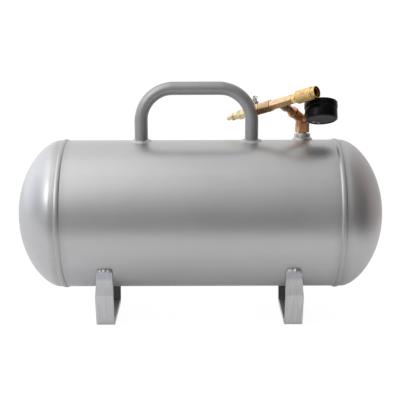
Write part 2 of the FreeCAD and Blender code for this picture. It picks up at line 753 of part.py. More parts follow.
def sector_gear():
    """Toothed sector that drives the pinion; its pivot stands opposite the stem."""
    m = GEAR_MODULE
    pitch_r = m * SECTOR_TEETH / 2
    root = pitch_r - 1.2 * m
    step = 360.0 / SECTOR_TEETH
    tooth = gear_tooth(SECTOR_TEETH, 0.75, 1.2, 0.04, 0.3).extrude(V(0, 0, 1.0))
    first = -(SECTOR_CUT - 3)
    rim = Part.makeCylinder(root, 1.0, V(0, 0, 0), V(0, 0, 1), step * (SECTOR_CUT + 1))
    rim = rim.cut(cylinder(root - 2.0, -1, 2))
    start = step * (first - 1)
    rim.rotate(V(0, 0, 0), V(0, 0, 1), start)
    pieces = [rim]
    for k in range(SECTOR_CUT):
        piece = tooth.copy()
        piece.rotate(V(0, 0, 0), V(0, 0, 1), step * (first + k))
        pieces.append(piece)
    middle = step * (first + SECTOR_CUT / 2)
    web = block((0, root - 1), (-1.3, 1.3), (0, 1.0))
    web.rotate(V(0, 0, 0), V(0, 0, 1), middle)
    pieces += [web, cylinder(2.0, 0, 1.0), cylinder(0.6, -2.4, 2.2)]
    solid = fused(pieces)
    centre = m * (SECTOR_TEETH + PINION_TEETH) / 2
    solid.translate(V(-centre, 0, 0.9))
    return placed(solid, GAUGE)


def movement_plates():
    centre = GEAR_MODULE * (SECTOR_TEETH + PINION_TEETH) / 2
    plates = []
    for low, high in ((-1.6, -0.8), (3.4, 4.2)):
        plate = block((-centre - 3, 14.2), (-4.5, 4.5), (low, high))
        for x in (0, -centre):
            plate = plate.cut(cylinder(0.65, low - 1, high + 1, V(x, 0, 0)))
        plates.append(plate)
    for y in (-3.4, 3.4):
        plates.append(cylinder(0.9, -1.0, 3.6, V(6, y, 0)))
    return placed(fused(plates), GAUGE)


def gauge_socket():
    stem_end = GAUGE_REACH - GAUGE_PORT_FACE - 0.4
    edge = GAUGE_BEZEL_R + 0.3
    flats = block((edge, stem_end), (-7, 7), (-7, 7))
    body = fused([
        block((14.2, 20.0), (-6, 6), (-9.6, 6.35)), block((16, edge + 1), (-5.5, 5.5), (-5.5, 3.6)),
        flats.common(cylinder(8.8, edge, stem_end, axis=V(1, 0, 0))),
        cylinder(SMALL_R, stem_end - 1, GAUGE_REACH - 9.0, axis=V(1, 0, 0)),
    ])
    return placed(body.cut(cylinder(1.5, 12, 60, axis=V(1, 0, 0))), GAUGE)


def bourdon_tube():
    """Flattened tube bent to a C, from the socket round to its free tip."""
    inner, outer = 16.6, 18.4
    start = 24.0
    sweep_angle = 262.0
    tube = Part.makeCylinder(outer, 5.0, V(0, 0, -9.4), V(0, 0, 1), sweep_angle)
    tube = tube.cut(cylinder(inner, -12, 0))
    tube.rotate(V(0, 0, 0), V(0, 0, 1), start)
    bore = Part.makeCylinder(outer - 0.5, 4.0, V(0, 0, -8.9), V(0, 0, 1), sweep_angle - 8)
    bore = bore.cut(cylinder(inner + 0.5, -12, 0))
    bore.rotate(V(0, 0, 0), V(0, 0, 1), start + 4)
    root = block((14.25, 19.9), (6.05, 8.6), (-9.4, -4.4)).common(cylinder(outer, -12, 0))
    return placed(tube.cut(bore).fuse(root), GAUGE)


def gauge_pointer():
    """Pointer at zero: it leans to the lower left of the dial's upright."""
    hub = ring(2.2, 0.6, 7.5, 9.0)
    points = [V(-1.1, -5.5, 7.9), V(1.1, -5.5, 7.9), V(0.25, 17.5, 7.9), V(-0.25, 17.5, 7.9)]
    blade = Part.Face(Part.makePolygon(points + points[:1])).extrude(V(0, 0, 0.5))
    blade = blade.cut(cylinder(0.6, 7, 10))
    pointer = fused([hub, blade])
    pointer.rotate(V(0, 0, 0), V(0, 0, 1), 90 + 135)
    return placed(pointer, GAUGE)


def build():
    left_foot, right_foot = [foot(x) for x in FOOT_X]
    pieces = {
        "tank_shell": tank_shell(),
        "left_head": head(-1),
        "right_head": head(1),
        "girth_welds": [girth_weld(-1), girth_weld(1)],
        "long_seam_weld": long_seam(),
        "carry_handle": carry_handle(),
        "handle_welds": handle_welds(),
        "left_foot": left_foot,
        "right_foot": right_foot,
        "foot_welds": foot_welds(FOOT_X[0], left_foot) + foot_welds(FOOT_X[1], right_foot),
        "outlet_boss": boss(RISER, BUNG_TOP, BUNG_R),
        "drain_boss": boss(DRAIN, DRAIN_TOP, DRAIN_R),
        "boss_welds": [
            collar_weld(BUNG_R, BUNG_BEAD, RISER),
            collar_weld(DRAIN_R, DRAIN_BEAD, DRAIN),
        ],
        "drain_plug": drain_plug(),
        "riser_nipple": riser_nipple(),
        "outlet_elbow": outlet_elbow(),
        "arm_nipple": arm_nipple(),
        "manifold_bar": manifold_bar(),
        "lock_nut": lock_nut(),
        "safety_tee": safety_tee(),
        "safety_body": safety_body(),
        "safety_stem": safety_stem(),
        "safety_spring": safety_spring(),
        "pull_ring": pull_ring(),
        "check_body": check_body(),
        "check_poppet": check_poppet(),
        "check_spring": check_spring(),
        "male_plug": male_plug(),
        "coupler_body": coupler_body(),
        "coupler_sleeve": coupler_sleeve(),
        "sleeve_spring": sleeve_spring(),
        "retaining_ring": retaining_ring(),
        "coupler_seal": coupler_seal(),
        "coupler_poppet": coupler_poppet(),
        "poppet_spring": poppet_spring(),
        "gauge_case": gauge_case(),
        "gauge_bezel": gauge_bezel(),
        "gauge_lens": gauge_lens(),
        "gauge_dial": gauge_dial(),
        "gauge_pointer": gauge_pointer(),
        "pinion_arbor": pinion_arbor(),
        "sector_gear": sector_gear(),
        "movement_plates": movement_plates(),
        "bourdon_tube": bourdon_tube(),
        "gauge_socket": gauge_socket(),
    }
    for k, turn in enumerate(ball_turns()):
        pieces["locking_ball_%d" % (k + 1)] = locking_ball(turn)
    for name, shape in pieces.items():
        export(name, shape)


build()
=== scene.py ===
import math

import bpy
from mathutils import Matrix, Vector, noise


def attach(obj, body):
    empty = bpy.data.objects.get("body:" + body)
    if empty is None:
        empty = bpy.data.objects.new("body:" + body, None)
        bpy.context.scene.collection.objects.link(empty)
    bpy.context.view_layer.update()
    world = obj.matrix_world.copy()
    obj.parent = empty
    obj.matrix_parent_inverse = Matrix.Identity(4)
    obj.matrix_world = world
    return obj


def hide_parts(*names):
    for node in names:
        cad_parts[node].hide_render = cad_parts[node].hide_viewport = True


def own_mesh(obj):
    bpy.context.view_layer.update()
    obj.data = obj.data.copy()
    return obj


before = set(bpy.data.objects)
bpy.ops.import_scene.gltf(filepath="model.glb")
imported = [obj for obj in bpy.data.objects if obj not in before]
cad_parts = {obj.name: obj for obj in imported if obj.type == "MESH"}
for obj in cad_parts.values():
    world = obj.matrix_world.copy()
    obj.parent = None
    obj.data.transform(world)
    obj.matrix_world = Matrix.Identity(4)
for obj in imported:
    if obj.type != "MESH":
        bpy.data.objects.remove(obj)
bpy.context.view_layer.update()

MM = 0.001

# ---- tank ----
AXIS_Z = 0.167
TANK_R = 0.1143
WALL = 0.0048
SEAM_X = 0.2084
HEAD_BASE = SEAM_X + 0.010
HEAD_DEPTH = 0.0635
HEAD_POWER = 1.6
SEAM_ANGLE = 205.0
HANDLE_LEGS = (-0.0904, 0.0790)
HANDLE_R = 0.0102
HANDLE_TOP = 0.362
HANDLE_BEND = 0.050
HANDLE_BEAD = (7.0 * MM, 3.0 * MM)      # reach along the shell and rise up the tube
FOOT_X = (-0.1476, 0.1438)
FOOT_TOP = (0.0054, -0.0172)
FOOT_CONTACT = 55.0
FOOT_BEAD = (0.0040, 0.0054)            # radius on the left and the right foot

# ---- lines the fittings stand on ----
BUNG_X = 0.159
BUNG_LEAN = 8.5
BUNG_R = 12.5 * MM
BUNG_BEAD = (4.2 * MM, 4.0 * MM)
DRAIN_R = 11.0 * MM
DRAIN_BEAD = (2.5 * MM, 1.4 * MM)
ELBOW_CORNER = 149.2 * MM
ELBOW_OFFSET = (-4.5 * MM, -5.56 * MM, 0)
ARM_AZIMUTH, ARM_ELEVATION = 219.04, 32.61
ARM_LENGTH = 49.1 * MM
BAR_AZIMUTH, BAR_ELEVATION = -39.0, 18.0
PORT_AZIMUTH, PORT_ELEVATION = -58.2, 22.6
PORT_HEIGHT = 144.7 * MM
GAUGE_REACH = 48.5 * MM
GAUGE_NORMAL = (0.0, 0.43, 0.903)
SAFETY_AT = -45.6 * MM
SAFETY_TURN = 92.0


# ======================================================================
# places
# ======================================================================
def heading(azimuth, elevation):
    a = math.radians(azimuth)
    e = math.radians(elevation)
    return Vector((math.cos(e) * math.cos(a), math.cos(e) * math.sin(a), math.sin(e)))


def square_to(vector, axis):
    return (vector - axis * vector.dot(axis)).normalized()


def frame_at(origin, z_axis, x_hint):
    z = z_axis.normalized()
    x = square_to(Vector(x_hint), z)
    y = z.cross(x)
    rows = Matrix((x, y, z)).transposed().to_4x4()
    rows.translation = origin
    return rows


X_AXIS, Y_AXIS, Z_AXIS = Vector((1, 0, 0)), Vector((0, 1, 0)), Vector((0, 0, 1))
TANK = frame_at(Vector((0, 0, AXIS_Z)), X_AXIS, Z_AXIS)
UP = heading(90, 90 - BUNG_LEAN)
RISER = frame_at(Vector((BUNG_X, 0, AXIS_Z)), UP, X_AXIS)
CORNER = RISER @ Vector((0, 0, ELBOW_CORNER)) + Vector(ELBOW_OFFSET)
ARM_AXIS = heading(ARM_AZIMUTH, ARM_ELEVATION)
BAR_AXIS = square_to(heading(BAR_AZIMUTH, BAR_ELEVATION), ARM_AXIS)
BAR = frame_at(CORNER + ARM_AXIS * ARM_LENGTH, BAR_AXIS, -ARM_AXIS)
PORT_AXIS = heading(PORT_AZIMUTH, PORT_ELEVATION)
GAUGE_CENTRE = RISER @ Vector((0, 0, PORT_HEIGHT)) + PORT_AXIS * GAUGE_REACH
GAUGE = frame_at(GAUGE_CENTRE, square_to(Vector(GAUGE_NORMAL), PORT_AXIS), -PORT_AXIS)
BAR_BACK = -BAR_AXIS.cross(Z_AXIS).normalized()
BAR_UP = BAR_AXIS.cross(BAR_BACK)
SAFETY_AXIS = (
    BAR_BACK * math.cos(math.radians(SAFETY_TURN)) + BAR_UP * math.sin(math.radians(SAFETY_TURN))
)
SAFETY = frame_at(BAR @ Vector((0, 0, SAFETY_AT)), SAFETY_AXIS, BAR_BACK)


# ======================================================================
# materials
# ======================================================================
class Shader:
    """Short calls for building a node material."""

    def __init__(self, name):
        self.material = bpy.data.materials.new(name)
        self.material.use_nodes = True
        self.tree = self.material.node_tree
        self.surface = self.tree.nodes["Principled BSDF"]

    def add(self, kind, inputs=(), **settings):
        made = self.tree.nodes.new(kind)
        for key, value in settings.items():
            setattr(made, key, value)
        for key, value in dict(inputs).items():
            self.put(made.inputs[key], value)
        return made

    def put(self, socket, value):
        if isinstance(value, bpy.types.NodeSocket):
            self.tree.links.new(value, socket)
        else:
            socket.default_value = value

    def set(self, **values):
        for key, value in values.items():
            self.put(self.surface.inputs[key.replace("_", " ")], value)

    def position(self, scale=(1, 1, 1), turn=None):
        """Object coordinates, stretched, and turned into a frame if one is given."""
        coordinates = self.add("ShaderNodeTexCoord").outputs["Object"]
        if turn is not None:
            turned = {}
            for index, row in enumerate(list(turn.inverted())[:3]):
                turned[index] = self.math("ADD", self.dot(coordinates, row[:3]), row[3])
            coordinates = self.add("ShaderNodeCombineXYZ", turned).outputs[0]
        return self.add("ShaderNodeMapping", {"Vector": coordinates, "Scale": scale}).outputs[0]

    def dot(self, a, b):
        return self.add("ShaderNodeVectorMath", {0: a, 1: b}, operation="DOT_PRODUCT").outputs["Value"]

    def parts(self, vector):
        return self.add("ShaderNodeSeparateXYZ", {0: vector}).outputs[0:3]

    def facing(self, direction):
        """How far the surface is turned towards a direction: 1 when it faces it."""
        normal = self.add("ShaderNodeNewGeometry").outputs["Normal"]
        return self.dot(normal, tuple(Vector(direction).normalized()))

    def about(self, place):
        """Distance along a frame's Z axis and radius from that axis."""
        x, y, along = self.parts(self.position(turn=place))
        square = self.math("ADD", self.math("MULTIPLY", x, x), self.math("MULTIPLY", y, y))
        return along, self.math("SQRT", square)

    def noise(self, scale, vector=None, detail=4.0, roughness=0.6):
        inputs = {"Scale": scale, "Detail": detail, "Roughness": roughness}
        inputs["Vector"] = vector if vector is not None else self.position()
        return self.add("ShaderNodeTexNoise", inputs).outputs["Fac"]

    def math(self, operation, a, b=0.0, clamp=False):
        made = self.add("ShaderNodeMath", {0: a, 1: b}, operation=operation, use_clamp=clamp)
        return made.outputs[0]

    def span(self, value, low, high, to_low=0.0, to_high=1.0):
        """Maps a range of value onto another range and clamps it."""
        inputs = {"Value": value, "From Min": low, "From Max": high, "To Min": to_low, "To Max": to_high}
        return self.add("ShaderNodeMapRange", inputs).outputs[0]

    def mix(self, share, a, b, blend="MIX"):
        made = self.add("ShaderNodeMix", data_type="RGBA", blend_type=blend)
        self.put(made.inputs["Factor"], share)
        self.put(made.inputs[6], a)
        self.put(made.inputs[7], b)
        return made.outputs[2]

    def bump(self, height, distance, strength=1.0, under=None):
        inputs = {"Height": height, "Distance": distance, "Strength": strength}
        if under is not None:
            inputs["Normal"] = under
        return self.add("ShaderNodeBump", inputs).outputs[0]

    def edge_wear(self, radius):
        """1 on convex edges, 0 elsewhere."""
        bevel = self.add("ShaderNodeBevel", {"Radius": radius}, samples=4).outputs[0]
        geometry = self.add("ShaderNodeNewGeometry").outputs["Normal"]
        return self.span(self.dot(bevel, geometry), 0.998, 0.93)


def grey(value, alpha=1.0):
    return (value, value, value, alpha)


def tank_paint():
    """Satin silver finish: cloudy tone, fine metallic grain, rubbed and handled patches."""
    s = Shader("tank_silver")
    cloud = s.noise(5.0, detail=5.0)
    streak = s.noise(60.0, s.position((0.06, 1, 1)), detail=3.0)
    speck = s.noise(2600.0, detail=1.0)
    smudge = s.span(s.noise(9.0, s.position((1, 1.7, 1.2)), detail=6.0), 0.52, 0.72)
    tone = s.mix(s.span(cloud, 0.3, 0.7), grey(0.50), grey(0.56))
    tone = s.mix(s.span(streak, 0.35, 0.75, 0.0, 0.35), tone, grey(0.60))
    tone = s.mix(s.span(speck, 0.3, 0.8, 0.0, 0.25), tone, grey(0.68))
    x, y, z = s.parts(s.position())
    # painted shade: the tone darkens within 16 mm of each girth seam
    from_seam = s.math("ABSOLUTE", s.math("SUBTRACT", s.math("ABSOLUTE", x), SEAM_X))
    seam_shade = s.span(from_seam, 0.004, 0.016, 0.45, 0.0)
    tone = s.mix(seam_shade, tone, (0.42, 0.41, 0.40, 1))
    rough = s.math("ADD", s.span(smudge, 0, 1, 0.0, 0.05), s.span(cloud, 0.3, 0.7, 0.33, 0.39))
    s.set(Base_Color=tone, Metallic=0.85, Roughness=rough)
    grain = s.bump(speck, 0.00004, 0.5)
    s.set(Normal=s.bump(s.noise(16.0, detail=2.0), 0.0012, 0.25, grain))
    return s.material


def handle_metal():
    s = Shader("handle_grey")
    cloud = s.noise(14.0, detail=5.0)
    drawn = s.noise(900.0, s.position((1, 1, 0.02)), detail=2.0)
    scuff = s.span(s.noise(70.0, s.position((0.5, 1, 1.6)), detail=7.0), 0.62, 0.7)
    tone = s.mix(s.span(cloud, 0.3, 0.7), grey(0.37), grey(0.43))
    tone = s.mix(s.math("MULTIPLY", scuff, 0.35), tone, grey(0.47))
    s.set(Base_Color=tone, Metallic=0.85, Roughness=s.span(cloud, 0.3, 0.7, 0.42, 0.5))
    s.set(Normal=s.bump(drawn, 0.00004, 0.5))
    return s.material


def foot_metal():
    """Bare rolled strap: grain along its length, worn edges, a painted darker band along the top and
    painted shade on the inner side.
    """
    s = Shader("strap_silver")
    grain = s.noise(500.0, s.position((1, 0.04, 0.04)), detail=3.0)
    cloud = s.noise(18.0, detail=4.0)
    x, y, z = s.parts(s.position())
    # painted reflection: the top of the strap is painted a darker bluish grey
    upper = s.span(z, 0.084, 0.090)
    tone = s.mix(s.span(cloud, 0.3, 0.7), grey(0.74), grey(0.84))
    tone = s.mix(upper, tone, (0.60, 0.60, 0.66, 1))
    tone = s.mix(s.math("MULTIPLY", s.span(grain, 0.45, 0.6), 0.22), tone, grey(0.42))
    tone = s.mix(s.edge_wear(0.0007), tone, grey(0.90))
    # painted shade: faces turned in under the tank are painted nearly black
    inward = s.math("MULTIPLY", s.facing(Y_AXIS), s.span(y, -0.02, 0.02, 1, -1))
    under_tank_shade = s.span(inward, 0.15, 0.5, 0.0, 0.86)
    tone = s.mix(under_tank_shade, tone, (0.06, 0.06, 0.065, 1))
    s.set(Base_Color=tone, Metallic=0.9, Roughness=s.span(grain, 0.3, 0.7, 0.3, 0.4))
    s.set(Normal=s.bump(grain, 0.00005, 0.6))
    return s.material


def weld_metal():
    """As-welded bead: bright crests, sooty toes and a little spatter."""
    s = Shader("weld_metal")
    patch = s.noise(120.0, detail=6.0)
    soot = s.span(s.noise(45.0, detail=5.0), 0.5, 0.75)
    tone = s.mix(s.span(patch, 0.35, 0.65), grey(0.46), grey(0.62))
    tone = s.mix(s.math("MULTIPLY", soot, 0.45), tone, (0.30, 0.28, 0.26, 1))
    s.set(Base_Color=tone, Metallic=0.92, Roughness=s.span(patch, 0.3, 0.7, 0.34, 0.5))
    s.set(Normal=s.bump(s.noise(700.0, detail=4.0), 0.0002, 0.5))
    return s.material


# dark brown painted shade for the inside of the coupler's mouth
BORE_SHADE = (0.20, 0.09, 0.03, 1)


def brass(name, base, dark, worn, rough, grain_scale=1200.0, frame_turn=None, cast=0.0, mottle=1.0,
          wear=1.0, painted_shade=None, painted_bore_shade=False):
    """Brass with tarnish in patches, bright edges and turning marks across its axis.

    tarnished is (direction, strength): faces turned that way are painted darker, a painted shade.
    painted_bore_shade paints shade inside the coupler's mouth."""
    s = Shader(name)
    patch = s.span(s.noise(90.0, detail=6.0), 0.38, 0.68)
    spots = s.span(s.noise(420.0, detail=3.0), 0.62, 0.72)
    turned = s.noise(grain_scale, s.position((0.03, 0.03, 1), frame_turn), detail=2.0)
    tone = s.mix(s.math("MULTIPLY", patch, 0.6 * mottle), base, dark)
    tone = s.mix(s.math("MULTIPLY", spots, 0.35 * mottle), tone, dark)
    tone = s.mix(s.math("MULTIPLY", s.edge_wear(0.0004), wear), tone, worn)
    # painted shade: faces turned towards the given direction are painted darker
    if painted_shade:
        direction, strength = painted_shade
        shade_tone = tuple(c * 0.55 for c in dark[:3]) + (1.0,)
        tone = s.mix(s.span(s.facing(direction), 0.05, 0.75, 0.0, strength), tone, shade_tone)
    # painted shade: the inside of the coupler's mouth is painted dark brown
    if painted_bore_shade:
        along, radius = s.about(BAR)
        deep = s.span(along, 56.8 * MM, 60.0 * MM)
        inside = s.math("MULTIPLY", deep, s.span(radius, 8.1 * MM, 8.5 * MM, 1.0, 0.0))
        tone = s.mix(s.math("MULTIPLY", inside, 0.85), tone, BORE_SHADE)
    roughness = s.math("ADD", s.span(patch, 0, 1, 0.0, 0.12), rough)
    s.set(Base_Color=tone, Metallic=1.0, Roughness=roughness)
    under = s.bump(turned, 0.00003, 0.5)
    if cast:
        under = s.bump(s.noise(600.0, detail=5.0), cast, 0.7, under)
    s.set(Normal=under)
    return s.material


def spring_steel():
    s = Shader("bright_steel")
    patch = s.noise(300.0, detail=4.0)
    s.set(Base_Color=s.mix(patch, grey(0.5), grey(0.72)), Metallic=1.0)
    s.set(Roughness=s.span(patch, 0.3, 0.7, 0.18, 0.34))
    return s.material


def gauge_black():
    """Black enamel with faint orange peel, dust and rubbed edges; the back is rougher, and painted greyer
    as a painted reflection.
    """
    s = Shader("gauge_black")
    dust = s.span(s.noise(160.0, detail=7.0), 0.58, 0.75)
    # painted reflection: faces turned to the back of the case are painted grey
    back = s.span(s.facing(-GAUGE.to_3x3().col[2]), 0.7, 0.95)
    tone = s.mix(s.math("MULTIPLY", dust, 0.5), grey(0.002), grey(0.009))
    tone = s.mix(s.math("MULTIPLY", s.edge_wear(0.0004), 0.25), tone, grey(0.10))
    painted_back_sheen = s.mix(s.span(s.noise(70.0, detail=6.0), 0.3, 0.7), grey(0.045), grey(0.075))
    s.set(Base_Color=s.mix(back, tone, painted_back_sheen), Metallic=0.0)
    s.set(Roughness=s.math("ADD", s.span(dust, 0, 1, 0.24, 0.4), s.math("MULTIPLY", back, 0.2)))
    s.surface.inputs["Specular IOR Level"].default_value = 0.12
    s.set(Normal=s.bump(s.noise(900.0, detail=2.0), 0.00006, 0.5))
    return s.material


def plain(name, colour, rough, metallic=0.0, grain=400.0, depth=0.00003):
    """A plain finish that still has some grain and tone variation."""
    s = Shader(name)
    patch = s.noise(grain * 0.3, detail=5.0)
    darker = tuple(c * 0.78 for c in colour[:3]) + (1.0,)
    s.set(Base_Color=s.mix(s.span(patch, 0.35, 0.7), colour, darker), Metallic=metallic)
    s.set(Roughness=s.span(patch, 0.3, 0.7, rough, rough + 0.12))
    s.set(Normal=s.bump(s.noise(grain, detail=3.0), depth, 0.6))
    return s.material


def clear_lens():
    s = Shader("clear_lens")
    smear = s.span(s.noise(40.0, detail=5.0), 0.5, 0.8)
    s.set(Base_Color=(0.97, 0.98, 1.0, 1), Roughness=s.span(smear, 0, 1, 0.02, 0.10), IOR=1.49)
    s.surface.inputs["Transmission Weight"].default_value = 1.0
    return s.material


GOLD = dict(base=(0.90, 0.63, 0.25, 1), dark=(0.56, 0.32, 0.10, 1), worn=(0.98, 0.87, 0.58, 1))
PALE = dict(base=(0.92, 0.77, 0.44, 1), dark=(0.66, 0.50, 0.24, 1), worn=(1.0, 0.93, 0.70, 1))
PEACH = dict(base=(0.95, 0.69, 0.43, 1), dark=(0.62, 0.36, 0.17, 1), worn=(0.98, 0.84, 0.64, 1))
COPPER = dict(base=(0.74, 0.40, 0.21, 1), dark=(0.42, 0.19, 0.08, 1), worn=(0.90, 0.68, 0.52, 1))

MATERIALS = {
    "tank": tank_paint(),
    "handle": handle_metal(),
    "foot": foot_metal(),
    "weld": weld_metal(),
    "gold": brass("coupler_brass", rough=0.25, frame_turn=BAR, mottle=0.45, painted_bore_shade=True, **GOLD),
    "knurl": brass("sleeve_brass", rough=0.20, frame_turn=BAR, mottle=0.9, wear=0.5, painted_bore_shade=True,
                   painted_shade=((0.3, -0.2, -0.93), 0.7), **GOLD),
    "peach": brass("bar_brass", rough=0.26, frame_turn=BAR, painted_shade=((0.1, -0.5, -0.86), 0.9), **PEACH),
    "pale_brass": brass("plug_brass", rough=0.24, frame_turn=BAR, **PALE),
    "copper": brass("cast_brass", rough=0.36, frame_turn=RISER, cast=0.00008,
                    painted_shade=((0.94, -0.1, -0.3), 0.8), **COPPER),
    "inner": brass("inner_brass", rough=0.3, **GOLD),
    "steel": spring_steel(),
    "black": gauge_black(),
    "rubber": plain("black_rubber", (0.02, 0.02, 0.02, 1), 0.55),
    "dial": plain("dial_white", (0.86, 0.86, 0.83, 1), 0.4, grain=900.0, depth=0.00001),
    "ink": plain("dial_ink", (0.02, 0.02, 0.02, 1), 0.45, grain=900.0, depth=0.00001),
    "pale": plain("pale_mark", (0.55, 0.55, 0.53, 1), 0.5, grain=900.0, depth=0.00001),
    "lens": clear_lens(),
}


# ======================================================================
# pieces
# ======================================================================
def dress(obj, material, body, replaces=()):
    obj.data.materials.clear()
    obj.data.materials.append(MATERIALS[material])
    if body is not None:
        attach(obj, body)
    if replaces:
        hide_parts(*replaces)
    return obj


def bevel(obj, width, segments=3, angle=35.0):
    modifier = obj.modifiers.new("edges", "BEVEL")
    modifier.width = width
    modifier.segments = segments
    modifier.limit_method = "ANGLE"
    modifier.angle_limit = math.radians(angle)
    modifier.harden_normals = True
    return obj


def piece(name, vertices, faces, material, body, replaces=(), sharp=40.0):
    """Mesh object from row-frame points, smooth except across sharp edges."""
    mesh = bpy.data.meshes.new(name)
    mesh.from_pydata([tuple(v) for v in vertices], [], faces)
    mesh.validate()
    mesh.update()
    mesh.polygons.foreach_set("use_smooth", [True] * len(mesh.polygons))
    mesh.set_sharp_from_angle(angle=math.radians(sharp))
    obj = bpy.data.objects.new(name, mesh)
    bpy.context.scene.collection.objects.link(obj)
    return dress(obj, material, body, replaces)


def spun_mesh(profile, place, segments, shape=None):
    """Surface of revolution about a frame's Z from (radius, height) points, as points and faces.

    shape(angle, height, radius) may change the radius, for ripples and knurls."""
    vertices, rows = [], []
    for r, z in profile:
        if r < 1e-9:
            vertices.append(place @ Vector((0, 0, z)))
            rows.append([len(vertices) - 1] * segments)
            continue
        row = []
        for k in range(segments):
            a = 2 * math.pi * k / segments
            rr = shape(a, z, r) if shape else r
            vertices.append(place @ Vector((rr * math.cos(a), rr * math.sin(a), z)))
            row.append(len(vertices) - 1)
        rows.append(row)
    faces = []
    for lower, upper in zip(rows, rows[1:]):
        for k in range(segments):
            n = (k + 1) % segments
            corners = [lower[k], lower[n], upper[n], upper[k]]
            kept = list(dict.fromkeys(corners))
            if len(kept) > 2:
                faces.append(kept)
    return vertices, faces


def lathe(name, profile, place, material, body, replaces=(), segments=96, closed=True, shape=None):
    points = list(profile)
    if closed and points[0][0] > 1e-9:
        points.append(points[0])
    vertices, faces = spun_mesh(points, place, segments, shape)
    return piece(name, vertices, faces, material, body, replaces)


def scaled(profile):
    return [(r * MM, z * MM) for r, z in profile]


def tube_faces(rows, around):
    """Quads between the successive rings of a tube."""
    faces = []
    for i in range(rows):
        low, high = i * around, (i + 1) * around
        for k in range(around):
            n = (k + 1) % around
            faces.append([low + k, low + n, high + n, high + k])
    return faces


# ---- tank ----
def tank_body():
    inner = TANK_R - WALL
    end = SEAM_X - 1.0 * MM
    steps = 48
    outer = [(TANK_R, -end + 2 * end * k / steps) for k in range(steps + 1)]
    back = [(inner, end - 2 * end * k / 8) for k in range(9)]
    lathe("tank_skin", outer + back, TANK, "tank", "tank", ["tank_shell"], 256)


def dome(radius, depth, side, steps=40):
    points = []
    for k in range(steps + 1):
        a = math.pi / 2 * k / steps
        z = HEAD_BASE + depth * math.sin(a) ** (2 / HEAD_POWER)
        points.append((radius * math.cos(a) if k < steps else 0.0, side * z))
    return points


def tank_heads():
    for side, node in ((-1, "left_head"), (1, "right_head")):
        edge = side * (SEAM_X + 1.0 * MM)
        outer = [(TANK_R, edge)] + dome(TANK_R, HEAD_DEPTH, side)
        inner = [(TANK_R - WALL, edge)] + dome(TANK_R - WALL, HEAD_DEPTH - WALL, side)
        profile = inner[::-1] + outer
        lathe(node + "_skin", profile, TANK, "tank", "tank", [node], 256, closed=False)


def girth_beads():
    """Ring welds with fine ripples that lean back as the torch went round."""
    width = 4.4 * MM
    proud = 1.9 * MM
    count = 260
    for side, name in ((-1, "left_girth_bead"), (1, "right_girth_bead")):
        centre = side * SEAM_X

        def shape(a, z, r):
            s = (z - centre) / width
            swing = 0.25 * noise.noise(Vector((6 * math.cos(a), 6 * math.sin(a), side)))
            ripple = abs(math.sin(a * count / 2 + 1.3 * (1 - s * s)))
            crown = max(0.0, 1 - s * s) ** 0.55
            return r + proud * crown * (0.84 + 0.12 * ripple + 0.3 * swing)

        profile = [(TANK_R - 0.15 * MM, centre + width * (k / 6 - 1)) for k in range(13)]
        profile = [(TANK_R - 1.2 * MM, profile[0][1])] + profile + [(TANK_R - 1.2 * MM, profile[-1][1])]
        vertices, faces = spun_mesh(profile, TANK, 1040, shape)
        piece(name, vertices, faces, "tank", "tank", ["girth_welds"], 75)


def long_seam_bead():
    a = math.radians(SEAM_ANGLE)
    out = TANK.to_3x3() @ Vector((math.cos(a), math.sin(a), 0))
    across = X_AXIS.cross(out)
    half = 3.5 * MM
    length = 2 * (SEAM_X - 4.5 * MM)
    steps = 900
    vertices, faces = [], []
    for i in range(steps + 1):
        x = -length / 2 + length * i / steps
        for k in range(9):
            s = k / 4 - 1
            ripple = abs(math.sin(x * 1000 * 1.2 + 1.2 * (1 - s * s)))
            lift = 1.2 * MM * max(0.0, 1 - s * s) ** 0.6 * (0.82 + 0.18 * ripple)
            drop = TANK_R - math.sqrt(TANK_R ** 2 - (s * half) ** 2)
            base = Vector((x, 0, AXIS_Z)) + out * (TANK_R - drop + lift - 0.05 * MM)
            vertices.append(base + across * (s * half))
    for i in range(steps):
        for k in range(8):
            a0 = i * 9 + k
            faces.append([a0, a0 + 9, a0 + 10, a0 + 1])
    piece("long_seam_bead", vertices, faces, "weld", "tank", ["long_seam_weld"], 75)


# ---- handle ----
def handle_path(bend_steps=24, straight_steps=10):
    left, right = HANDLE_LEGS
    foot = AXIS_Z + TANK_R - 3 * MM
    points = []
    for k in range(straight_steps):
        z = foot + (HANDLE_TOP - HANDLE_BEND - foot) * k / straight_steps
        points.append(Vector((left, 0, z)))
    for k in range(bend_steps + 1):
        a = math.pi - math.pi / 2 * k / bend_steps
        points.append(Vector((
            left + HANDLE_BEND + HANDLE_BEND * math.cos(a), 0,
            HANDLE_TOP - HANDLE_BEND + HANDLE_BEND * math.sin(a),
        )))
    middle = (left + right) / 2
    mirrored = [Vector((2 * middle - p.x, 0, p.z)) for p in reversed(points)]
    return points + mirrored


def carry_handle():
    """Tube bent over a former: the bends are very slightly flattened."""
    path = handle_path()
    segments = 40
    vertices = []
    for i, p in enumerate(path):
        before = path[max(0, i - 1)]
        after = path[min(len(path) - 1, i + 1)]
        along = (after - before).normalized()
        side = Y_AXIS
        over = along.cross(side).normalized()
        flat = 0.965 if 0.15 < abs(along.z) < 0.985 else 1.0
        for k in range(segments):
            a = 2 * math.pi * k / segments
            vertices.append(p + side * (HANDLE_R * math.cos(a)) + over * (HANDLE_R * flat * math.sin(a)))
    faces = tube_faces(len(path) - 1, segments)
    piece("carry_handle_tube", vertices, faces, "handle", "tank", ["carry_handle"])


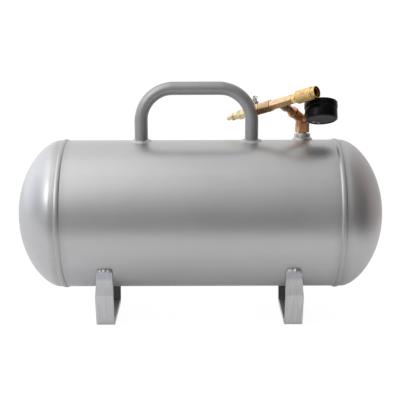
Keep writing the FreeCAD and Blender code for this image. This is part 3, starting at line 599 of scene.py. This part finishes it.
def collar_bead(name, place, radius, reach, rise, count, replaces):
    """Fillet weld round a round post that stands on the shell, above or below it."""
    around, across = 180, 10
    lift = math.copysign(1, place.to_3x3().col[2].z)
    vertices, faces = [], []
    for i in range(around):
        a = 2 * math.pi * i / around
        wobble = 1 + 0.12 * noise.noise(Vector((2.2 * math.cos(a), 2.2 * math.sin(a), radius * 300)))
        for k in range(across + 1):
            t = k / across
            ripple = abs(math.sin(a * count / 2 + 1.1 * t))
            bulge = math.sin(math.pi * t) * rise * (0.16 + 0.10 * ripple)
            out = radius - 0.2 * MM + reach * wobble * t
            world = place @ Vector((out * math.cos(a), out * math.sin(a), 0))
            ground = math.sqrt(max(0.0, TANK_R ** 2 - world.y ** 2))
            height = rise * wobble * (1 - t) ** 1.25 + bulge - 0.25 * MM * t
            vertices.append(Vector((world.x, world.y, AXIS_Z + lift * (ground + height))))
    for i in range(around):
        n = (i + 1) % around
        for k in range(across):
            a0 = i * (across + 1) + k
            b0 = n * (across + 1) + k
            faces.append([a0, b0, b0 + 1, a0 + 1])
    return piece(name, vertices, faces, "weld", "tank", replaces, 75)


def collar_beads():
    for x, side in zip(HANDLE_LEGS, ("left", "right")):
        place = Matrix.Translation((x, 0, 0))
        collar_bead(side + "_leg_bead", place, HANDLE_R, *HANDLE_BEAD, 34, ["handle_welds"])
    foot = RISER @ Vector((0, 0, TANK_R))
    place = Matrix.Translation((foot.x, foot.y, 0))
    collar_bead("outlet_bead", place, BUNG_R, *BUNG_BEAD, 44, ["boss_welds"])
    turned = Matrix.Rotation(math.pi, 4, "X")
    collar_bead("drain_bead", turned, DRAIN_R, *DRAIN_BEAD, 40, ["boss_welds"])


# ---- feet ----
def foot_bead(name, x, middle, length, side, size, dabs):
    """One bead over a strap's end, laid in a few dabs; side is -1 in front and 1 behind."""
    contact = math.radians(FOOT_CONTACT)
    reach = TANK_R + 2.4 * MM
    rings, around = 56, 16
    y = -reach * math.sin(contact) - 2.0 * MM * math.cos(contact) + 0.9 * MM
    z = AXIS_Z - reach * math.cos(contact) + 2.0 * MM * math.sin(contact) + 0.3 * MM
    vertices = []
    for i in range(rings + 1):
        s = i / rings
        envelope = math.sin(math.pi * s) ** 0.35 if 0 < s < 1 else 0.0
        dab = 0.70 + 0.30 * abs(math.sin(math.pi * dabs * s + 0.3)) ** 0.7
        jitter = 1 + 0.22 * noise.noise(Vector((7 * s, x * 50, side)))
        r = size * envelope * dab * jitter
        for k in range(around):
            a = 2 * math.pi * k / around * -side
            at_y = -side * (y + r * math.cos(a))
            vertices.append(Vector((middle + (s - 0.5) * length, at_y, z + r * math.sin(a))))
    piece(name, vertices, tube_faces(rings, around), "weld", "tank", ["foot_welds"], 75)


def foot_beads():
    for x, left, size, dabs in zip(FOOT_X, ("left", "right"), FOOT_BEAD, (3, 2)):
        outer, inner = (x + math.copysign(1, x) * edge for edge in FOOT_TOP)
        middle, length = (outer + inner) / 2, abs(outer - inner) - 1.0 * MM
        for side, face in ((-1, "front"), (1, "back")):
            foot_bead("%s_foot_%s_bead" % (left, face), x, middle, length, side, size, dabs)


# ---- CAD nodes kept as they are, with rounded edges ----
def cad(node, material, edge=0.25, weld=True):
    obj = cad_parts[node]
    if weld:
        merge = obj.modifiers.new("merge", "WELD")
        merge.merge_threshold = 0.000002
    if edge:
        bevel(obj, edge * MM, 2, 32)
    obj.data.materials.clear()
    obj.data.materials.append(MATERIALS[material])
    return obj


def kept_nodes():
    for node in ("left_foot", "right_foot"):
        cad(node, "foot", 0.8)
    for node in ("outlet_boss", "drain_boss"):
        cad(node, "tank", 0.4)
    cad("gauge_socket", "gold", 0.3)
    for node in ("outlet_elbow", "riser_nipple"):
        cad(node, "copper", 0.5)
    for node in ("arm_nipple", "manifold_bar", "lock_nut", "safety_tee"):
        cad(node, "peach", 0.3)
    for node in ("check_body", "male_plug"):
        cad(node, "pale_brass", 0.2)
    for node in ("coupler_body", "drain_plug"):
        cad(node, "gold", 0.2)
    cad("safety_body", "steel", 0.2)
    for node in ("check_poppet", "coupler_poppet", "pinion_arbor", "sector_gear", "movement_plates",
                 "bourdon_tube", "safety_stem"):
        cad(node, "inner", 0.0)
    for node in ("check_spring", "sleeve_spring", "poppet_spring", "safety_spring", "retaining_ring",
                 "pull_ring", "locking_ball_1", "locking_ball_2", "locking_ball_3", "locking_ball_4"):
        cad(node, "steel", 0.0)
    cad("coupler_seal", "rubber", 0.0)
    cad("gauge_case", "black", 0.5)
    cad("gauge_bezel", "black", 0.35)
    cad("gauge_lens", "lens", 0.2)
    cad("gauge_dial", "dial", 0.0)
    cad("gauge_pointer", "ink", 0.1)


def springs():
    """Each spring gets a mesh of its own. Rows: node, joint, frame, fixed end, free end and travel in mm.
    """
    rows = (
        ("sleeve_spring", "sleeve_slide", BAR, 33.65, 46.35, 3.5),
        ("poppet_spring", "coupler_valve_slide", BAR, 30.05, 38.05, 5.5),
        ("check_spring", "check_valve_slide", BAR, -59.25, -65.55, 2.5),
        ("safety_spring", "relief_lift", SAFETY, 17.5, 8.7, 1.5),
    )
    for node, joint, place, fixed, free, travel in rows:
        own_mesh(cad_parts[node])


# ---- coupler sleeve with its knurl ----
def coupler_sleeve():
    starts = 36
    lead = 4.6 * MM
    low, high = 33.2 * MM, 58.0 * MM
    grip = 9.8 * MM

    def diamond(a, z, r):
        if not low < z < high or r < grip - 0.1 * MM:
            return r
        u = (a * starts / (2 * math.pi) + z / lead * 3.6) % 1.0
        v = (a * starts / (2 * math.pi) - z / lead * 3.6) % 1.0
        groove = max(abs(u - 0.5), abs(v - 0.5)) * 2
        return r - 0.42 * MM * max(0.0, groove - 0.45) / 0.55

    steps = 88
    outer = [(9.06, 31.6), (9.3, 31.6), (9.65, 31.8), (9.8, 32.1), (9.8, 32.8)]
    outer += [(9.8, 33.2 + 24.8 * k / steps) for k in range(steps + 1)]
    outer += [(9.8, 58.6), (9.75, 59.0), (9.5, 59.4), (9.2, 59.6), (8.6, 59.9), (8.5, 60.1),
              (8.5, 61.0), (8.6, 61.3), (9.0, 61.6), (9.0, 65.3), (8.9, 65.9), (8.6, 66.15),
              (8.3, 66.15), (8.0, 65.9), (7.9, 65.5)]
    inner = [(7.9, 60.7), (7.25, 60.7), (7.25, 57.6), (8.60, 57.6), (8.60, 56.8), (7.79, 52.7),
             (7.79, 46.4), (9.06, 46.4)]
    lathe("coupler_sleeve_knurled", scaled(outer + inner), BAR, "knurl", "sleeve",
          ["coupler_sleeve"], 360, shape=diamond)


# ---- gauge face ----
def dial_marks():
    """Ticks on the dial from zero, lower left, clockwise to full scale, lower right."""
    z = 7.24 * MM
    vertices, faces = [], []
    for k in range(41):
        a = math.radians(315 - 270 * k / 40)
        long_tick = k % 5 == 0
        inner = (17.4 if long_tick else 18.9) * MM
        outer = 20.6 * MM
        half = (0.32 if long_tick else 0.16) * MM
        out = Vector((math.cos(a), math.sin(a), 0))
        side = Vector((-math.sin(a), math.cos(a), 0)) * half
        start = len(vertices)
        for r, s in ((inner, -1), (outer, -1), (outer, 1), (inner, 1)):
            vertices.append(GAUGE @ (out * r + side * s + Vector((0, 0, z))))
        faces.append([start, start + 1, start + 2, start + 3])
    arc_steps = 120
    for k in range(arc_steps):
        start = len(vertices)
        for step in (k, k + 1):
            a = math.radians(315 - 270 * step / arc_steps)
            for r in (20.6 * MM, 20.9 * MM):
                vertices.append(GAUGE @ Vector((r * math.cos(a), r * math.sin(a), z)))
        faces.append([start, start + 1, start + 3, start + 2])
    piece("dial_ticks", vertices, faces, "ink", "tank")


def dial_numbers():
    for k in range(5):
        a = math.radians(315 - 270 * k / 4)
        curve = bpy.data.curves.new("number_%d" % k, "FONT")
        curve.body = str(50 * k)
        curve.size = 4.6 * MM
        curve.align_x = "CENTER"
        curve.align_y = "CENTER"
        source = bpy.data.objects.new("number_source_%d" % k, curve)
        bpy.context.scene.collection.objects.link(source)
        bpy.context.view_layer.update()
        mesh = bpy.data.meshes.new_from_object(source.evaluated_get(bpy.context.evaluated_depsgraph_get()))
        bpy.data.objects.remove(source)
        centre = Vector((13.4 * MM * math.cos(a), 13.4 * MM * math.sin(a), 7.26 * MM))
        # the dial's upright is the frame's -X, so its reading direction is +Y
        rows = Matrix(((0, -1, 0), (1, 0, 0), (0, 0, 1))).to_4x4()
        mesh.transform(GAUGE @ Matrix.Translation(centre) @ rows)
        obj = bpy.data.objects.new("dial_number_%d" % (50 * k), mesh)
        bpy.context.scene.collection.objects.link(obj)
        dress(obj, "ink", "tank")


def gauge_back_marks():
    """Two pale pads moulded on the back of the case."""
    z = -14.05 * MM
    vertices, faces = [], []
    for y in (-5.2 * MM, 4.2 * MM):
        x = 14.2 * MM
        half_x, half_y = 1.5 * MM, 2.3 * MM
        start = len(vertices)
        for dx, dy in ((-1, -1), (1, -1), (1, 1), (-1, 1)):
            vertices.append(GAUGE @ Vector((x + dx * half_x, y + dy * half_y, z)))
        for dx, dy in ((-1, -1), (1, -1), (1, 1), (-1, 1)):
            vertices.append(GAUGE @ Vector((x + dx * half_x, y + dy * half_y, z + 0.9 * MM)))
        faces += [[start + 3, start + 2, start + 1, start]]
        for k in range(4):
            n = (k + 1) % 4
            faces.append([start + k, start + n, start + 4 + n, start + 4 + k])
    piece("gauge_back_pads", vertices, faces, "pale", "tank")


# ======================================================================
# stage, light and camera
# ======================================================================
def studio_floor():
    """White sheet: the camera sees it burnt out to white, the object sees a plain pale table."""
    mesh = bpy.data.meshes.new("studio_floor")
    left, right, front, back = -3.0, 0.70, -0.62, 12.0
    corners = [(left, front, 0), (right, front, 0), (right, back, 0), (left, back, 0)]
    mesh.from_pydata(corners, [], [[0, 1, 2, 3]])
    floor = bpy.data.objects.new("studio_floor", mesh)
    bpy.context.scene.collection.objects.link(floor)
    s = Shader("studio_floor")
    s.set(Base_Color=grey(0.93), Roughness=0.8)
    s.surface.inputs["Specular IOR Level"].default_value = 0.1
    seen = s.add("ShaderNodeLightPath").outputs["Is Camera Ray"]
    glow = s.add("ShaderNodeEmission", {"Color": grey(1.0), "Strength": 1.08})
    share = s.math("MULTIPLY", seen, 0.88)
    both = s.add("ShaderNodeMixShader", {0: share, 1: s.surface.outputs[0], 2: glow.outputs[0]})
    s.put(s.tree.nodes["Material Output"].inputs["Surface"], both.outputs[0])
    mesh.materials.append(s.material)
    return floor


# grey of the room by height of the direction, -1 straight down to 1 straight up
LEFT_SKY = (
    (-1, 0.60), (-0.3, 0.50), (-0.1, 0.42), (0.1, 0.44),
    (0.35, 0.66), (0.6, 0.95), (0.8, 1.55), (1, 2.0),
)
RIGHT_SKY = (
    (-1, 0.45), (-0.4, 0.36), (-0.1, 0.17), (0.1, 0.16),
    (0.35, 0.30), (0.6, 0.40), (0.8, 0.44), (1, 0.54),
)


def sky_ramp(s, height, stops):
    """Grey that follows the stops; the world doubles it."""
    ramp = s.add("ShaderNodeValToRGB", {0: s.span(height, -1, 1)})
    elements = ramp.color_ramp.elements
    while len(elements) < len(stops):
        elements.new(0.5)
    for element, (z, value) in zip(elements, stops):
        element.position = (z + 1) / 2
        element.color = grey(value / 2)
    return ramp.outputs[0]


def studio_world():
    """Pale room: a broad soft light up to the left, dimmer to the right and at eye level in front."""
    world = bpy.data.worlds.new("studio")
    bpy.context.scene.world = world
    world.use_nodes = True
    tree = world.node_tree
    tree.nodes.clear()
    s = Shader.__new__(Shader)
    s.tree = tree
    direction = s.add("ShaderNodeTexCoord").outputs["Generated"]
    x, y, z = s.add("ShaderNodeSeparateXYZ", {0: direction}).outputs
    across = s.span(x, -0.30, 0.12)
    front = s.mix(across, sky_ramp(s, z, LEFT_SKY), sky_ramp(s, z, RIGHT_SKY))
    behind = s.mix(across, grey(0.55), grey(0.43))
    light = s.mix(s.span(y, 0.0, 0.5), front, behind)
    cool = s.mix(s.span(x, -0.3, -0.8), grey(1.0), (1.28, 1.31, 1.40, 1))
    warm = s.mix(s.span(x, 0.3, 0.75), grey(1.0), (0.62, 0.56, 0.55, 1))
    light = s.mix(1.0, s.mix(1.0, light, cool, "MULTIPLY"), warm, "MULTIPLY")
    rays = s.add("ShaderNodeLightPath")
    light = s.mix(rays.outputs["Is Camera Ray"], light, grey(0.58))
    background = s.add("ShaderNodeBackground", {"Color": light, "Strength": 2.0})
    output = s.add("ShaderNodeOutputWorld")
    tree.links.new(background.outputs[0], output.inputs[0])


def area_light(name, place, target, size, power, colour=(1, 1, 1), size_y=None):
    light = bpy.data.lights.new(name, "AREA")
    light.shape = "RECTANGLE"
    light.size = size
    light.size_y = size_y or size
    light.energy = power
    light.color = colour
    obj = bpy.data.objects.new(name, light)
    obj.location = place
    obj.rotation_euler = (Vector(target) - Vector(place)).to_track_quat("-Z", "Y").to_euler()
    bpy.context.scene.collection.objects.link(obj)
    obj.visible_camera = False
    return obj


def studio_lights():
    area_light("soft_left", (-1.5, -1.3, 1.5), (0, 0, 0.15), 1.0, 7.0)


CAMERA_PLACE = (0.0023, -1.3056, 0.4952)
CAMERA_TILT = 0.23131         # radians below the horizon
CAMERA_ROLL = 0.0033
CAMERA_YAW = 0.0014
CAMERA_LENS = 77.14           # mm, on a 36 mm sensor


def camera():
    """Standing a little above the tank, looking down at it from 1.3 m."""
    data = bpy.data.cameras.new("camera")
    data.sensor_width = 36.0
    data.lens = CAMERA_LENS
    data.clip_start = 0.05
    data.clip_end = 60.0
    obj = bpy.data.objects.new("camera", data)
    obj.location = CAMERA_PLACE
    obj.rotation_euler = (math.pi / 2 - CAMERA_TILT, CAMERA_ROLL, CAMERA_YAW)
    bpy.context.scene.collection.objects.link(obj)
    bpy.context.scene.camera = obj
    return obj


tank_body()
tank_heads()
girth_beads()
long_seam_bead()
carry_handle()
collar_beads()
foot_beads()
kept_nodes()
coupler_sleeve()
dial_marks()
dial_numbers()
gauge_back_marks()
springs()
studio_floor()
studio_world()
studio_lights()
camera()

scene = bpy.context.scene
scene.view_settings.view_transform = "Standard"
scene.view_settings.look = "None"
